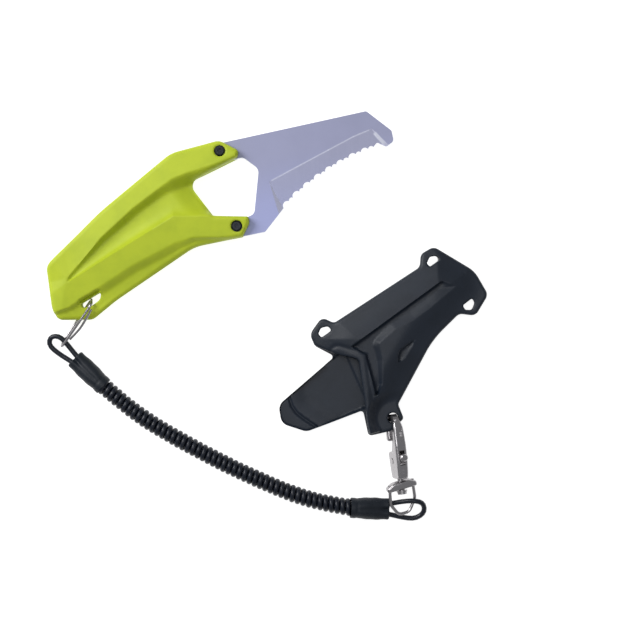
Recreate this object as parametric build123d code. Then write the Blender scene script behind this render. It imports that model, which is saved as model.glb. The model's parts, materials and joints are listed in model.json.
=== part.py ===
"""Rigging knife with its sheath and its coiled lanyard, laid flat side by side.

Every piece is a separate solid in its own node.  The knife, the sheath and the snap are
each drawn in a frame of their own, in millimetres, and are then laid on the floor, z = 0.
"""
from build123d import *
import math
import os

# ---- Driving dimensions, millimetres and degrees ----
# Knife: x runs along the blade's back towards the tip, y from the edge to the back
KNIFE_AT = (-35.7, 49.3)
KNIFE_TURN = 12.4
HANDLE_THICK = 12.0
FLANGE_THICK = 4.4
BLADE_THICK = 2.5
TOP_ROUNDING = 1.3
SCREW_PLACES = ((0.1, 14.9), (0.3, -16.1))
SCREW_HEAD_R = 2.1
SCREW_HEAD_TALL = 1.3
SCREW_R = 1.25
BARREL_R = 1.8
COUNTERBORE_R = 2.3
COUNTERBORE_DEEP = 1.5
SLOT_AT = (-63.3, -32.6)
SLOT_LONG = 10.4
SLOT_WIDE = 3.8
SLOT_TURN = 19.0
TROUGH_DEEP = 2.6

# Blade edge: teeth's tips from the hook to the heel, with short and long scallops between
EDGE_TIPS = (
    (61.2, 3.6), (58.9, 3.3), (55.7, 2.6), (53.6, 2.3), (50.3, 1.3), (48.1, 0.8), (45.0, -0.1),
    (43.0, -0.7), (39.9, -2.0), (38.1, -2.7), (34.8, -4.2), (33.0, -5.0), (29.8, -6.7),
    (28.0, -7.6), (24.9, -9.5), (23.1, -10.6), (20.3, -12.8),
)
SCALLOP_DEEP = 0.36
SCALLOP_LEAN = 20.0
EDGE_THICK = 0.5
GRIND_RUN = 10.4

# Sheath: x runs along its straight edge towards the blade tip's end, y across it
SHEATH_AT = (8.5, -4.7)
SHEATH_TURN = 33.1
SHEATH_THICK = 11.0
PART_LINE = 5.0
EAR_LOW = 3.9
EAR_HIGH = 6.1
POCKET_LOW = 3.4
POCKET_HIGH = 7.9
TONGUE_LOW = 0.4
TONGUE_HIGH = 3.4
RIB_HIGH = 4.6
RIB_LOW = 7.2
HOOK_HOLE_AT = (-2.4, -45.4)
HOOK_HOLE_R = 2.9
LUG_R = 7.4

# Snap hook: x runs from its base to its hook, y towards its back, z across it
SNAP_AT = (34.3, -68.8, 5.05)
SNAP_TURN = 97.0
SNAP_LEAN = 19.0
SNAP_THICK = 4.4
CHEEK_GAP = 2.2
PIVOT_AT = (7.6, -0.9)
PIVOT_R = 0.8
STUD_R = 1.3
STUD_LONG = 5.3
STRAP_AT = -2.9
STRAP_SKEW = 8.0
STRAP_DROOP = 8.0
STRAP_LONG = 12.6
STRAP_TALL = 2.4
STRAP_THICK = 4.4
STRAP_HOLE_R = 1.65
BAIL_ROLL = 13.0
BAIL_WIRE_R = 0.65
BAIL_SHEAR = 0.12

# Lanyard
CORD_R = 1.05
COIL_R = 3.5
SLEEVE_END_R = 3.8
SLEEVE_WALL = 0.6
FERRULE_FROM = 5.6
FERRULE_TO = 11.0
LINK_WIRE_R = 0.5
LINK_NEAR = (-91.0, 3.3, 6.4)
LINK_FAR = (-103.6, -14.6, 3.2)
LINK_HALF = 3.9
LINK_LEAN = 15.0
SLEEVE_A_MOUTH = (-98.0, -20.3, 3.6)
SLEEVE_B_MOUTH = (29.4, -81.4, 2.7)
COIL_RUNS = (
    (-87.3, -30.5, 3.9), (-78.8, -38.0, 3.5), (-68.4, -45.6, 3.5), (-57.6, -52.0, 3.5),
    (-46.4, -58.1, 3.5), (-35.0, -64.0, 3.5), (-22.8, -69.6, 3.5), (-10.4, -74.9, 3.5),
    (2.6, -78.9, 3.5), (15.2, -80.8, 3.9),
)
LOOP_A_RUNS = (
    (-93.2, -23.1, 3.6), (-97.2, -19.5, 3.5), (-101.1, -14.6, 3.3), (-104.3, -10.9, 3.2),
    (-108.3, -10.9, 2.7), (-109.3, -14.6, 2.0), (-104.8, -18.4, 1.6), (-99.1, -21.6, 2.8),
    (-94.9, -24.9, 3.6),
)
LOOP_B_RUNS = (
    (24.2, -79.9, 3.2), (29.4, -79.4, 2.8), (34.6, -78.3, 3.4), (39.9, -77.6, 5.4),
    (43.9, -78.8, 3.8), (44.4, -83.0, 2.1), (40.4, -85.7, 1.3), (34.6, -84.8, 1.7),
    (29.4, -83.4, 2.6), (24.2, -82.7, 3.2),
)


# ---- Helpers ----
def rounded(corners):
    """A closed face from corners (x, y, radius)."""
    points = [(x, y) for x, y, _ in corners]
    radii = [r for _, _, r in corners]
    return make_face(FilletPolyline(*points, radius=radii, close=True))


def rounded_prism(corners, height, edge):
    """A prism on a rounded outline, with its top edge rounded too."""
    prism = extrude(rounded(corners), height)
    top = prism.faces().sort_by(Axis.Z)[-1]
    return fillet(top.edges(), edge)


def cylinder_between(low, high, radius):
    """A round rod along z from low to high."""
    return Pos(0, 0, (low + high) / 2) * Cylinder(radius, high - low)


def knife_place():
    return Pos(*KNIFE_AT, HANDLE_THICK / 2) * Rot(0, 0, KNIFE_TURN)


def sheath_place():
    return Pos(*SHEATH_AT, 0) * Rot(0, 0, SHEATH_TURN)


def snap_place():
    """The hook's plane stands nearly upright: y is up, leaning to the right."""
    return Pos(*SNAP_AT) * Rot(0, 0, SNAP_TURN) * Rot(90 + SNAP_LEAN, 0, 0)


def tube(points, radii, radius):
    """A round cord along straight runs joined by tangent arcs."""
    path = FilletPolyline(*points, radius=radii)
    section = Plane(origin=path @ 0, z_dir=path % 0) * Circle(radius)
    return sweep(section, path=path)


def arc_radii(points):
    """Each arc's radius: as large as its two runs allow."""
    radii = []
    for before, here, after in zip(points, points[1:], points[2:]):
        first = Vector(*here) - Vector(*before)
        second = Vector(*after) - Vector(*here)
        turn = math.radians(first.get_angle(second))
        shorter = min(first.length, second.length)
        radii.append(0.45 * shorter / math.tan(turn / 2))
    return radii


# ---- Knife ----
HANDLE_EDGE = (
    (-19.5, 18.4, 14), (0.8, 19.3, 5), (7.6, 13.5, 1.6), (6.4, 11.1, 0.9), (-15.4, 5.4, 3.6),
    (-8.2, -10.0, 1.8), (5.7, -13.3, 0.8), (5.6, -15.9, 3.0), (1.7, -20.7, 1.2),
    (-18.4, -20.5, 18), (-54.0, -34.8, 60), (-65.0, -40.4, 4), (-78.6, -37.6, 3),
    (-79.9, -33.0, 12), (-78.4, -15.3, 5), (-52.4, 1.4, 90),
)
BODY_EDGE = (
    (-19.5, 18.4, 14), (0.8, 19.3, 5), (7.6, 13.5, 1.6), (6.4, 11.1, 0.9), (-15.4, 5.4, 3.6),
    (-8.2, -10.0, 1.8), (5.7, -13.3, 0.8), (5.6, -15.9, 3.0), (1.7, -20.4, 1.2),
    (-20.4, -16.2, 9), (-44.3, -22.9, 40), (-72.6, -34.6, 6), (-79.9, -33.0, 3),
    (-78.4, -15.3, 5), (-52.4, 1.4, 90),
)
TROUGH_EDGE = (
    (-70.2, -21.4, 0.8), (-53.8, -9.2, 60), (-39.2, -0.8, 60), (-19.6, 7.4, 8), (-8.0, 8.6, 1),
    (-4.0, -11.0, 1), (-21.6, -6.6, 4),
)
BLADE_BACK = (
    (3.2, 18.3, 0.2), (61.4, 18.3, 1.2), (69.7, 8.4, 1.4), (69.7, 4.1, 1.6), (66.3, 2.6, 0.9),
    (63.0, 5.1, 0.7),
)
BLADE_HEEL = ((10.9, -20.6, 0.8), (-5.5, -20.4, 0.8), (-5.5, -13.0, 0.8), (5.2, -13.3, 1))
BLADE_RING = ((8.2, -12.6, 2.5), (13.9, 4.8, 3.5), (8.6, 10.9, 3), (-5.8, 10.2, 1), (-5.8, 18.1, 1))
GRIND_EDGE = (
    (19.5, -1.9), (50.2, 6.4), (55.2, 7.2), (60.9, 8.1), (64.7, 2.3), (61.0, -6.0),
    (30.0, -22.0), (20.5, -15.2),
)


def blade_outline():
    teeth = tuple((x, y, 0.1) for x, y in EDGE_TIPS)
    return rounded(BLADE_BACK + teeth + BLADE_HEEL + BLADE_RING)


def grind(side):
    """The wedge ground off one side, down to the edge, with a sloping run-out at each end."""
    top = BLADE_THICK / 2
    fall = math.degrees(math.atan((top - EDGE_THICK / 2) / GRIND_RUN))
    line = math.degrees(math.atan2(9.4, 33.2))
    block = Pos(0, -20, 10) * Box(140, 40, 20)
    wedge = Pos(16.8, -1.2, top) * Rot(0, 0, line) * Rot(fall, 0, 0) * block
    prism = extrude(make_face(Polyline(*GRIND_EDGE, close=True)), 2, taper=-64)
    cut = wedge & prism
    return cut if side > 0 else mirror(cut, about=Plane.XY)


def scallops():
    """Leaning round cutters along the edge, each through two neighbouring tips."""
    cutters = []
    for first, last in zip(EDGE_TIPS, EDGE_TIPS[1:]):
        tip = Vector(*first)
        way = Vector(*last) - tip
        half = way.length / 2
        deep = 2 * SCALLOP_DEEP * half
        radius = (half**2 + deep**2) / (2 * deep)
        outward = Vector(way.Y, -way.X).normalized() * -(radius - deep)
        rod = Rot(SCALLOP_LEAN, 0, 0) * Cylinder(radius, 12)
        cutters.append(Pos(*(tip + way / 2 + outward)) * rod)
    return cutters


def blade():
    body = Pos(0, 0, -BLADE_THICK / 2) * extrude(blade_outline(), BLADE_THICK)
    body = body - grind(1) - grind(-1)
    for cutter in scallops():
        body = body - cutter
    for x, y in SCREW_PLACES:
        body = body - Pos(x, y) * Cylinder(BARREL_R, 6)
    return body


def handle_half(blade_body):
    """The front half, from the middle plane up; the back half is its mirror image."""
    half = HANDLE_THICK / 2
    flange = rounded_prism(HANDLE_EDGE, FLANGE_THICK / 2, 0.7)
    shell = flange + rounded_prism(BODY_EDGE, half, TOP_ROUNDING)
    trough = Pos(0, 0, half - TROUGH_DEEP) * extrude(rounded(TROUGH_EDGE), 4, taper=-28)
    slot = Pos(*SLOT_AT) * Rot(0, 0, SLOT_TURN) * SlotOverall(SLOT_LONG, SLOT_WIDE)
    shell = shell - trough - extrude(slot, 8, both=True)
    return shell - blade_body


def screw(x, y):
    """A button-head screw with a hexagon socket, its head just under the surface."""
    top = HANDLE_THICK / 2
    under = top - COUNTERBORE_DEEP
    head = cylinder_between(under, under + SCREW_HEAD_TALL, SCREW_HEAD_R)
    head = chamfer(head.edges().sort_by(Axis.Z)[-1], 0.5)
    shank = cylinder_between(-top + 2.6, under, SCREW_R)
    socket = Pos(0, 0, under + 0.4) * extrude(RegularPolygon(1.0, 6), 2)
    return Pos(x, y) * (head + shank - socket)


def barrel_nut(x, y):
    """A sleeve nut from the back, threaded on the screw's shank."""
    low = -HANDLE_THICK / 2
    high = HANDLE_THICK / 2 - COUNTERBORE_DEEP
    head = cylinder_between(low + 0.2, low + COUNTERBORE_DEEP, SCREW_HEAD_R)
    head = chamfer(head.edges().sort_by(Axis.Z)[0], 0.4)
    barrel = cylinder_between(low + COUNTERBORE_DEEP, high, BARREL_R)
    bore = cylinder_between(low + 2.6, high + 1, SCREW_R)
    socket = Pos(0, 0, low) * extrude(RegularPolygon(1.0, 6), 1.1)
    return Pos(x, y) * (head + barrel - bore - socket)


def screw_holes(x, y):
    """The bore through a handle half, with its counterbore."""
    top = HANDLE_THICK / 2
    bore = cylinder_between(-top, top, BARREL_R)
    seat = cylinder_between(top - COUNTERBORE_DEEP, top + 1, COUNTERBORE_R)
    return Pos(x, y) * (bore + seat)


def knife_nodes():
    steel = blade()
    front = handle_half(steel)
    for place in SCREW_PLACES:
        front = front - screw_holes(*place)
    back = mirror(front, about=Plane.XY)
    nodes = {
        "blade": steel,
        "handle_front": front,
        "handle_back": back,
        "handle_screws": Compound([screw(*p) for p in SCREW_PLACES]),
        "barrel_nuts": Compound([barrel_nut(*p) for p in SCREW_PLACES]),
    }
    return {name: knife_place() * shape for name, shape in nodes.items()}


# ---- Sheath ----
SHEATH_EDGE = (
    (-1.4, 0.0, 2.2), (-4.3, 4.7, 2.7), (-12.2, 1.6, 4), (-13.1, -3.6, 3), (-7.2, -11.0, 1.0),
    (-10.9, -37.0, 1.2), (-14.8, -46.2, 1.5), (-5.6, -49.6, 4), (1.2, -48.0, 1.6),
    (2.4, -41.9, 1.6), (28.5, -27.6, 40), (43.2, -24.6, 3), (48.4, -29.0, 3.2),
    (57.4, -24.6, 1.8), (58.0, -13.6, 6), (49.5, 3.9, 3.4), (43.4, 4.2, 3), (40.2, 0.0, 3),
)
SHELL_EDGE = (
    (-0.2, -0.2, 2.0), (-6.4, -4.6, 5), (-7.2, -11.0, 1.0), (-10.9, -37.0, 1.2),
    (-14.2, -45.6, 1.5), (-9.0, -47.6, 1.5), (-8.0, -40.4, 4), (2.0, -40.2, 1.5),
    (28.5, -27.9, 40), (42.6, -24.4, 4), (51.6, -17.6, 3), (54.2, -12.0, 4), (48.2, -0.4, 3),
)
TONGUE_EDGE = (
    (-4.0, -11.2, 1), (-38.6, -15.7, 3.2), (-41.7, -22.7, 3), (-35.0, -31.0, 1.8), (-8.0, -36.0, 1),
)
POCKET_EDGE = (
    (-12.0, -3.4), (46.6, -3.4), (51.0, -14.0), (44.0, -21.6), (27.6, -24.4), (1.0, -37.4),
    (-13.0, -35.0),
)
PANEL_EDGE = (
    (-0.8, -11.4, 0.8), (44.0, -9.4, 1.2), (48.2, -14.2, 0.8), (33.0, -16.2, 3),
    (9.4, -17.0, 2), (-2.2, -34.4, 0.6), (-0.6, -17.2, 1.5),
)
PANEL_DEEP = 1.0
EYELETS = (
    ((-9.1, -0.2, 0.5), (-9.0, -2.2, 0.7), (-3.9, -2.0, 0.7), (-4.2, 0.2, 1.2), (-7.0, 1.2, 1.4)),
    ((43.3, -0.3, 0.5), (43.6, -2.2, 0.7), (48.6, -2.0, 0.7), (48.2, 0.2, 1.2), (45.8, 1.3, 1.4)),
    ((46.2, -22.6, 0.7), (51.2, -22.2, 0.7), (50.9, -24.4, 1.2), (48.4, -26.2, 1.4),
     (46.2, -24.6, 0.5)),
)


def sheath_holes():
    """The three lashing eyelets and the round hole for the hook."""
    holes = [extrude(rounded(edge), 14) for edge in EYELETS]
    holes.append(Pos(*HOOK_HOLE_AT, 7) * Cylinder(HOOK_HOLE_R, 14))
    return holes


def hook_room():
    """Space above and below the lug that the hook swings in."""
    low = Pos(*HOOK_HOLE_AT, EAR_LOW / 2) * Cylinder(LUG_R, EAR_LOW)
    high_tall = SHEATH_THICK - EAR_HIGH + 1
    high = Pos(*HOOK_HOLE_AT, EAR_HIGH + high_tall / 2) * Cylinder(LUG_R, high_tall)
    return [low, high]


def rib(low, high):
    """A guide rib along the blade's back, which takes up the pocket's slack."""
    strip = Pos(20.0, -5.4) * Rectangle(52.0, 4.4)
    return Pos(0, 0, low) * extrude(strip, high - low)


def sheath_front():
    ears = extrude(Pos(0, 0, PART_LINE) * rounded(SHEATH_EDGE), EAR_HIGH - PART_LINE)
    body = Pos(0, 0, PART_LINE) * rounded_prism(SHELL_EDGE, SHEATH_THICK - PART_LINE, 2.0)
    pocket = extrude(make_face(Polyline(*POCKET_EDGE, close=True)), POCKET_HIGH)
    panel = Pos(0, 0, SHEATH_THICK - PANEL_DEEP) * extrude(rounded(PANEL_EDGE), 3, taper=-30)
    shape = ears + body - pocket - panel + rib(RIB_LOW, POCKET_HIGH)
    for cut in sheath_holes() + hook_room():
        shape = shape - cut
    return shape


def sheath_back():
    ears = extrude(Pos(0, 0, EAR_LOW) * rounded(SHEATH_EDGE), PART_LINE - EAR_LOW)
    body = extrude(rounded(SHELL_EDGE), PART_LINE)
    tongue = Pos(0, 0, TONGUE_LOW) * rounded_prism(TONGUE_EDGE, TONGUE_HIGH - TONGUE_LOW, 0.8)
    pocket = Pos(0, 0, POCKET_LOW) * extrude(make_face(Polyline(*POCKET_EDGE, close=True)), 4)
    groove = Pos(-33.0, -23.4, TONGUE_HIGH) * Rot(0, 0, 12) * Box(1.2, 22, 1.0)
    shape = ears + body - pocket + tongue - groove + rib(POCKET_LOW, RIB_HIGH)
    for cut in sheath_holes() + hook_room():
        shape = shape - cut
    return shape


def sheath_nodes():
    nodes = {"sheath_front": sheath_front(), "sheath_back": sheath_back()}
    return {name: sheath_place() * shape for name, shape in nodes.items()}


# ---- Snap hook ----
SNAP_OUTSIDE = (
    (0.0, 4.1, 0.6), (14.0, 5.0, 8), (23.0, 4.6, 4.5), (26.5, 1.6, 3), (26.3, -3.6, 2.4),
    (23.0, -4.7, 2), (15.4, -4.5, 1.0), (15.4, -2.2, 0.9), (21.4, -2.3, 1.0), (23.6, -2.0, 0.8),
    (23.7, 0.8, 1.2), (21.4, 2.4, 2.0), (14.4, 2.5, 1.4), (11.4, 0.4, 1.0), (11.2, -4.1, 1.0),
    (0.0, -3.9, 0.6),
)
GATE_OUTSIDE = (
    (5.4, -2.2, 0.7), (11.2, -3.3, 0.5), (14.6, -1.8, 0.4), (17.2, -1.85, 0.5), (17.1, -0.7, 0.5),
    (13.4, -0.3, 1.0), (9.6, 1.0, 1.0), (10.4, 4.2, 0.8), (9.6, 5.6, 0.4), (8.2, 5.4, 0.4),
    (6.6, 0.6, 1.2),
)


def plate(face, thick):
    """A flat piece, centred on the hook's plane."""
    return Pos(0, 0, -thick / 2) * extrude(face, thick)


def snap_body():
    """The one-piece hook: it is thickest at its base and narrows to its nose."""
    side = ((-1, -2.2), (12, -2.2), (23, -1.4), (30, -1.4), (30, 1.4), (23, 1.4), (12, 2.2), (-1, 2.2))
    narrowed = extrude(Plane.XZ * make_face(Polyline(*side, close=True)), 12, both=True)
    shape = plate(rounded(SNAP_OUTSIDE), SNAP_THICK) & narrowed
    room = plate(Pos(7.6, -1.4) * Rectangle(9.2, 10), CHEEK_GAP)
    knob_slot = plate(Pos(8.8, 4.0) * Rectangle(5.6, 6), CHEEK_GAP)
    shape = shape - room - knob_slot
    shape = shape - Pos(*PIVOT_AT) * Cylinder(PIVOT_R, 8)
    return shape - Rot(0, 90, 0) * Cylinder(STUD_R, 5.2)


def gate():
    lever = plate(rounded(GATE_OUTSIDE), CHEEK_GAP - 0.3)
    knob = Pos(9.0, 6.5, 0) * Rot(90, 0, 0) * Cylinder(1.5, 2.4)
    knob = chamfer(knob.edges(), 0.35)
    pivot = Pos(*PIVOT_AT) * Cylinder(PIVOT_R + 0.05, 8)
    return lever + knob - pivot


def gate_pin():
    """The rivet through both cheeks, with low round heads."""
    tall = SNAP_THICK / 2
    shank = Cylinder(PIVOT_R, SNAP_THICK)
    top = cylinder_between(tall, tall + 0.35, 1.3)
    bottom = cylinder_between(-tall - 0.35, -tall, 1.3)
    return Pos(*PIVOT_AT) * (shank + top + bottom)


def gate_spring():
    """The bent leaf that presses the gate shut, in the room behind the pivot."""
    path = FilletPolyline((3.4, 1.6), (3.4, -1.6), (5.0, -1.5), radius=[0.6])
    return plate(trace(path, 0.35), 1.2)


def stud():
    """The rivet that carries the swivel strap, with its head."""
    shank = Rot(0, 90, 0) * cylinder_between(-STUD_LONG, 2.6, STUD_R)
    head = Rot(0, 90, 0) * cylinder_between(-STUD_LONG - 0.9, -STUD_LONG, 1.9)
    return shank + head


def washer():
    ring = cylinder_between(-STUD_LONG, -STUD_LONG + 0.6, 2.2)
    return Rot(0, 90, 0) * (ring - cylinder_between(-9, 0, STUD_R))


def strap_place():
    """The strap is loose on the stud, so it lies askew and rolled."""
    level = Pos(STRAP_AT, 0, 0) * Rot(BAIL_ROLL - SNAP_LEAN - 90, 0, 0)
    return level * Rot(0, -STRAP_DROOP, 0) * Rot(0, 0, STRAP_SKEW)


def strap():
    bar = Box(STRAP_TALL, STRAP_LONG, STRAP_THICK)
    bar = fillet(bar.edges().filter_by(Axis.X), 0.7)
    bar = bar - Rot(0, 90, 0) * Cylinder(STRAP_HOLE_R, 6)
    return strap_place() * bar - bail(BAIL_WIRE_R)


def bail(radius):
    """The D of wire whose ends are set in the strap's ends."""
    reach = STRAP_LONG / 2 - 1.4
    corners = ((1.6, reach), (-6.4, reach + 0.4), (-11.4, reach - 2.6))
    left = [(x, y - BAIL_SHEAR * x, 0) for x, y in corners]
    right = [(x, -y - BAIL_SHEAR * x, 0) for x, y in reversed(corners)]
    path = FilletPolyline(*left, *right, radius=[4.0, 2.8, 2.8, 4.0])
    section = Plane(origin=path @ 0, z_dir=path % 0) * Circle(radius)
    return strap_place() * sweep(section, path=path)


def snap_nodes():
    nodes = {
        "snap_body": snap_body(),
        "snap_gate": gate(),
        "gate_pin": gate_pin(),
        "gate_spring": gate_spring(),
        "swivel_stud": stud(),
        "swivel_washer": washer(),
        "swivel_strap": strap(),
        "bail_wire": bail(BAIL_WIRE_R),
    }
    return {name: snap_place() * shape for name, shape in nodes.items()}


# ---- Lanyard ----
def sleeve_core(mouth, end, wide, tall, thinner):
    """The tapered solid between an oval mouth and a round end, thinner by the wall."""
    axis = (Vector(*end) - Vector(*mouth)).normalized()
    level = Vector(0, 0, 1).cross(axis)
    oval = RectangleRounded(wide - 2 * thinner, tall - 2 * thinner, tall / 2 - thinner - 0.1)
    round_end = Circle(SLEEVE_END_R - thinner)
    first = Plane(origin=Vector(*mouth), x_dir=level, z_dir=axis) * oval
    second = Plane(origin=Vector(*end), x_dir=level, z_dir=axis) * round_end
    return loft([first, second])


def slab(mouth, end, start, stop):
    """The space between two planes across a sleeve, so far from its mouth."""
    axis = (Vector(*end) - Vector(*mouth)).normalized()
    across = Plane(origin=Vector(*mouth) + axis * start, z_dir=axis)
    return extrude(across * Rectangle(40, 40), stop - start)


def sleeve_and_ferrule(mouth, end, wide, tall):
    core = sleeve_core(mouth, end, wide, tall, SLEEVE_WALL)
    sleeve = sleeve_core(mouth, end, wide, tall, 0) - core
    ferrule = core & slab(mouth, end, FERRULE_FROM, FERRULE_TO)
    return sleeve, ferrule


def link_place():
    """The link's plane: x from the handle's slot to the cord loop, y across it."""
    along = (Vector(*LINK_FAR) - Vector(*LINK_NEAR)).normalized()
    flat = Vector(0, 0, 1).cross(along).normalized()
    up = along.cross(flat)
    lean = math.radians(LINK_LEAN)
    across = up * math.cos(lean) + flat * math.sin(lean)
    return Plane(origin=Vector(*LINK_NEAR), x_dir=along, z_dir=along.cross(across))


def closed_wire(corners, radius):
    """Round wire bent along a closed outline of corners (x, y, radius)."""
    points = [(x, y) for x, y, _ in corners]
    bends = [r for _, _, r in corners]
    path = link_place() * FilletPolyline(*points, radius=bends, close=True)
    section = Plane(origin=path @ 0, z_dir=path % 0) * Circle(radius)
    return sweep(section, path=path)


def link_wire():
    """A long narrow eye: wide round the handle's flange, narrower at the cord."""
    long = (Vector(*LINK_FAR) - Vector(*LINK_NEAR)).length
    corners = (
        (0, LINK_HALF, 1.6), (0, -LINK_HALF, 1.6), (9, -LINK_HALF, 8), (long, -2.6, 2.0),
        (long, 2.6, 2.0), (9, LINK_HALF, 8),
    )
    return closed_wire(corners, LINK_WIRE_R)


def link_latch():
    """The short spring tongue that shuts the eye, beside its upper strand."""
    aside = -2 * LINK_WIRE_R - 0.1
    points = [(2.0, LINK_HALF, aside), (8.6, LINK_HALF, -1.8), (13.0, 2.8, -1.8), (17.6, 2.4, -1.0)]
    path = link_place() * FilletPolyline(*points, radius=[6, 5])
    section = Plane(origin=path @ 0, z_dir=path % 0) * Circle(LINK_WIRE_R)
    return sweep(section, path=path)


def lanyard_nodes():
    sleeve_a, ferrule_a = sleeve_and_ferrule(SLEEVE_A_MOUTH, COIL_RUNS[0], 7.8, 5.6)
    sleeve_b, ferrule_b = sleeve_and_ferrule(SLEEVE_B_MOUTH, COIL_RUNS[-1], 8.4, 4.4)
    return {
        "lanyard_coil": tube(COIL_RUNS, arc_radii(COIL_RUNS), COIL_R),
        "cord_loop_knife_end": tube(LOOP_A_RUNS, arc_radii(LOOP_A_RUNS), CORD_R),
        "cord_loop_hook_end": tube(LOOP_B_RUNS, arc_radii(LOOP_B_RUNS), CORD_R),
        "sleeve_knife_end": sleeve_a,
        "sleeve_hook_end": sleeve_b,
        "ferrule_knife_end": ferrule_a,
        "ferrule_hook_end": ferrule_b,
        "link_wire": link_wire(),
        "link_latch": link_latch(),
    }


# ---- The whole layout, moved so that its origin is the middle of its base ----
CORD_NODES = (
    "lanyard_coil", "cord_loop_knife_end", "cord_loop_hook_end", "sleeve_knife_end",
    "sleeve_hook_end", "ferrule_knife_end", "ferrule_hook_end",
)


def report_cord(name, points, radius, solid):
    """Print a cord's arcs, its length and its volume against section times length."""
    path = FilletPolyline(*points, radius=arc_radii(points))
    ratio = solid.volume / (math.pi * radius**2 * path.length)
    print(name, "radii", [round(r, 1) for r in arc_radii(points)])
    print(name, "length", round(path.length, 1), "volume ratio", round(ratio, 4))


def main():
    nodes = {**knife_nodes(), **sheath_nodes(), **snap_nodes(), **lanyard_nodes()}
    report_cord("coil", COIL_RUNS, COIL_R, nodes["lanyard_coil"])
    report_cord("loop at the knife", LOOP_A_RUNS, CORD_R, nodes["cord_loop_knife_end"])
    report_cord("loop at the hook", LOOP_B_RUNS, CORD_R, nodes["cord_loop_hook_end"])
    firm = Compound([shape for name, shape in nodes.items() if name not in CORD_NODES])
    box = firm.bounding_box()
    middle = box.center()
    home = Pos(-middle.X, -middle.Y, -box.min.Z)
    print("moved by", home.position)
    os.makedirs("parts", exist_ok=True)
    for name, shape in nodes.items():
        export_step(home * shape, f"parts/{name}.step")


main()
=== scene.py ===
import json
import math

import bpy
import numpy as np
from mathutils import Matrix, Vector
from mathutils.geometry import delaunay_2d_cdt


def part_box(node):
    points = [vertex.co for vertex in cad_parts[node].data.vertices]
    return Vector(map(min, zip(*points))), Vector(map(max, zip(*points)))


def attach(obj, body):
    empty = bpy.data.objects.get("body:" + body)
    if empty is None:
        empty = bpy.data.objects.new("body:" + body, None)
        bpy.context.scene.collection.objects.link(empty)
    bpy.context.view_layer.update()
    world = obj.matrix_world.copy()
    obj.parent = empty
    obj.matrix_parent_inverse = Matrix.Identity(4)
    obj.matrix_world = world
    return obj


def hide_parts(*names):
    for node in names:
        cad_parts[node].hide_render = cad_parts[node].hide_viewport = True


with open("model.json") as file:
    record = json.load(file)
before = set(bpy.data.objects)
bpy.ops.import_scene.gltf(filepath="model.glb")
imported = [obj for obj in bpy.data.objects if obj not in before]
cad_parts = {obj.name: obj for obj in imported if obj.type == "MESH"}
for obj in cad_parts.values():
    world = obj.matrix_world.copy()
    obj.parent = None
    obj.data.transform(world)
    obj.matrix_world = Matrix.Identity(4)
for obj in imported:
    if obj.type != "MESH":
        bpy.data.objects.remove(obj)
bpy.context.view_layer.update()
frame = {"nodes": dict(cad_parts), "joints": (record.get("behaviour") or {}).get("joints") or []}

MM = 0.001

# ---- Where things lie, all in millimetres unless a name says otherwise ----
KNIFE_TURN = 12.4
SHEATH_TURN = 33.1
HANDLE_THICK = 12.0
SCREW_PLACES = ((0.1, 14.9), (0.3, -16.1))
HOOK_HOLE = (-2.4, -45.4)
LAYOUT_SHIFT = (19.4866, 1.79615)


def joint(name):
    """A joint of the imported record, by its name."""
    return next(j for j in frame["joints"] if j["name"] == name)


def turned(points, degrees):
    """Points (n, 2) turned about the origin."""
    a = math.radians(degrees)
    spin = np.array([[math.cos(a), math.sin(a)], [-math.sin(a), math.cos(a)]])
    return np.asarray(points, float) @ spin


def knife_home():
    """The knife frame's origin: the middle of the two screws is known in both frames."""
    low, high = (np.array(corner[:2]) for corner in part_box("handle_screws"))
    middle = np.mean(SCREW_PLACES, axis=0)
    return (low + high) / 2 / MM - turned([middle], KNIFE_TURN)[0]


def sheath_home():
    """The sheath frame's origin, worked back from the hinge in the hook's hole."""
    hole = np.array(joint("hook_swing")["pos_m"][:2]) / MM
    return hole - turned([HOOK_HOLE], SHEATH_TURN)[0]


# ---- Camera, lights and floor ----
VIEW_HEIGHT = 0.600
VIEW_WIDTH = 0.2591
SENSOR = 36.0
SKY_COLOUR = (0.95, 0.97, 1.0, 1)
SKY_STRENGTH = 0.34
LAMPS = (  # each one's name, place, target, side and power, in metres and watts
    ("key", (-0.54, 0.34, 0.54), (0, 0, 0), 0.44, 5.6),
    ("overhead", (0.02, 0.06, 0.95), (0.02, 0, 0), 0.40, 1.6),
)
FLOOR_SIDE = 3.0
FLOOR_COLOUR = (0.40, 0.40, 0.40, 1)
FLOOR_GLOW = 0.86


def look_down():
    """A camera straight above the middle of the layout."""
    data = bpy.data.cameras.new("camera")
    data.sensor_width = SENSOR
    data.lens = SENSOR * VIEW_HEIGHT / VIEW_WIDTH
    camera = bpy.data.objects.new("camera", data)
    camera.location = (LAYOUT_SHIFT[0] * MM, LAYOUT_SHIFT[1] * MM, VIEW_HEIGHT)
    bpy.context.collection.objects.link(camera)
    bpy.context.scene.camera = camera


def softbox(name, place, target, size, power):
    """A square soft light at a place, turned to face a target."""
    data = bpy.data.lights.new(name, "AREA")
    data.shape = "SQUARE"
    data.size = size
    data.energy = power
    lamp = bpy.data.objects.new(name, data)
    lamp.location = place
    aim = Vector(target) - Vector(place)
    lamp.rotation_euler = aim.to_track_quat("-Z", "Y").to_euler()
    bpy.context.collection.objects.link(lamp)


def light_the_scene():
    """Even daylight all round, a key light from the upper left and a weaker one overhead."""
    scene = bpy.context.scene
    scene.view_settings.view_transform = "Standard"
    scene.view_settings.look = "None"
    world = bpy.data.worlds.new("sky")
    world.use_nodes = True
    background = world.node_tree.nodes["Background"]
    background.inputs["Color"].default_value = SKY_COLOUR
    background.inputs["Strength"].default_value = SKY_STRENGTH
    scene.world = world
    for lamp in LAMPS:
        softbox(*lamp)


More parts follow.
